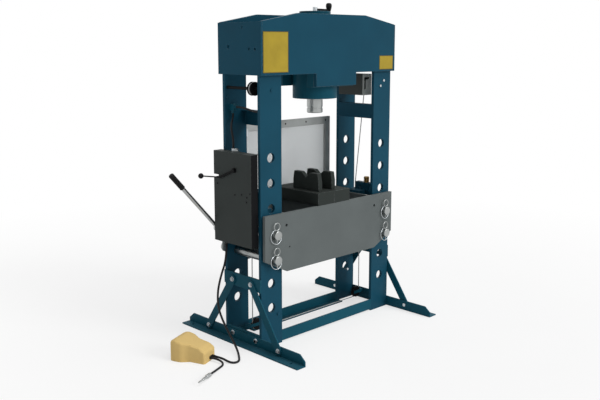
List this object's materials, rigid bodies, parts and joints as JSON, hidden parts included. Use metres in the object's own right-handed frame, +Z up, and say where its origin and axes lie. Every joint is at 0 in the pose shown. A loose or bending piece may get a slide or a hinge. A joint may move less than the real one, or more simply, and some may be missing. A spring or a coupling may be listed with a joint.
{
  "type": "hydraulic workshop press",
  "caption": "Floor-standing H-frame hydraulic workshop press with pinned bed, V-blocks, rope bed lift, air pump unit with hand lever, and foot pedal.",
  "frame": {"origin": "on the floor in the middle of the four uprights and of the four anchor holes in the feet", "axes": "+Z up, +X to the right seen from the front, +Y to the rear"},
  "size_m": [1.8109, 1.057, 2.04],
  "materials": {
    "frame_paint": "satin",
    "dark_paint": "satin",
    "zinc_steel": "satin",
    "ground_steel": "satin",
    "bed_paint": "satin",
    "block_iron": "satin",
    "black_metal": "satin",
    "black_plastic": "satin",
    "brass_metal": "dull",
    "wire_rope": "stranded",
    "case_grey": "satin",
    "guard_alu": "satin",
    "pane_plastic": "glossy",
    "cover_grey": "satin",
    "lever_chrome": "polished",
    "hose_rubber": "matte",
    "nipple_steel": "satin",
    "label_film": "matte",
    "pedal_yellow": "satin",
    "pedal_grey": "satin"
  },
  "bodies": {
    "press_frame": {"upright_front_left": "frame_paint", "upright_front_right": "frame_paint", "upright_rear_left": "frame_paint", "upright_rear_right": "frame_paint", "head_front_plate": "frame_paint", "head_rear_plate": "frame_paint", "head_end_plates": "frame_paint", "head_webs": "frame_paint", "upper_cross_members": "frame_paint", "lift_yokes": "frame_paint", "bearing_blocks": "dark_paint", "lower_cross_bars": "dark_paint", "base_bars": "dark_paint", "foot_left": "dark_paint", "foot_right": "dark_paint", "braces": "dark_paint", "oil_manifold": "dark_paint", "cylinder_barrel": "dark_paint", "cylinder_cap": "dark_paint", "cylinder_gland": "dark_paint", "pulley_forks": "dark_paint", "frame_bolts": "zinc_steel", "lever_pivots": "zinc_steel", "oil_fittings": "zinc_steel", "guard_brackets": "zinc_steel", "bed_front_plate": "bed_paint", "bed_rear_plate": "bed_paint", "bed_webs": "bed_paint", "support_bars": "block_iron", "v_blocks": "block_iron", "cover_screws": "black_metal", "lift_shafts": "black_metal", "lift_sheaves": "black_metal", "rope_adjuster": "brass_metal", "lift_ropes": "wire_rope", "rope_case": "case_grey", "guard_frame": "guard_alu", "guard_pane": "pane_plastic", "pump_cover": "cover_grey", "pump_body": "cover_grey", "oil_hoses": "hose_rubber", "air_hose_pedal": "hose_rubber", "air_hose_supply": "hose_rubber", "air_nipple": "nipple_steel", "head_labels": "label_film", "pedal_hood": "pedal_yellow", "pedal_base": "pedal_grey"},
    "ram_body": {"ram": "ground_steel"},
    "crank_body": {"crank": "black_metal", "crank_knob": "black_plastic"},
    "pump_lever_body": {"pump_lever": "lever_chrome", "pump_grip": "black_plastic"},
    "valve_lever_body": {"valve_lever": "black_metal", "valve_knob": "black_plastic"},
    "treadle_body": {"pedal_treadle": "pedal_grey"},
    "bed_pin_low_left_body": {"bed_pin_low_left": "ground_steel"},
    "bed_pin_low_right_body": {"bed_pin_low_right": "ground_steel"},
    "bed_pin_high_left_body": {"bed_pin_high_left": "ground_steel"},
    "bed_pin_high_right_body": {"bed_pin_high_right": "ground_steel"}
  },
  "joints": [
    {"name": "ram_slide", "type": "slide", "parent": "press_frame", "child": "ram_body", "axis": [0, 0, -1], "range_m": [0, 0.3]},
    {"name": "crank_turn", "type": "hinge", "parent": "press_frame", "child": "crank_body", "pos_m": [0.032, 0, 1.99], "axis": [0, 0, 1], "continuous": true},
    {"name": "pump_lever_swing", "type": "hinge", "parent": "press_frame", "child": "pump_lever_body", "pos_m": [-0.6, 0.204, 0.679], "axis": [0, 1, 0], "range_deg": [-50, 8]},
    {"name": "valve_lever_swing", "type": "hinge", "parent": "press_frame", "child": "valve_lever_body", "pos_m": [-0.646, -0.009, 1.062], "axis": [1, 0, 0], "range_deg": [-20, 20]},
    {"name": "treadle_press", "type": "hinge", "parent": "press_frame", "child": "treadle_body", "pos_m": [-0.93564, -0.00589, 0.038], "axis": [0.9239, 0.3827, 0], "range_deg": [-12, 0], "stiffness_Nm_per_rad": 2, "springref_deg": 20.05},
    {"name": "bed_pin_low_left_draw", "type": "slide", "parent": "press_frame", "child": "bed_pin_low_left_body", "axis": [0, -1, 0], "range_m": [0, 0.45]},
    {"name": "bed_pin_low_right_draw", "type": "slide", "parent": "press_frame", "child": "bed_pin_low_right_body", "axis": [0, -1, 0], "range_m": [0, 0.45]},
    {"name": "bed_pin_high_left_draw", "type": "slide", "parent": "press_frame", "child": "bed_pin_high_left_body", "axis": [0, -1, 0], "range_m": [0, 0.45]},
    {"name": "bed_pin_high_right_draw", "type": "slide", "parent": "press_frame", "child": "bed_pin_high_right_body", "axis": [0, -1, 0], "range_m": [0, 0.45]}
  ]
}
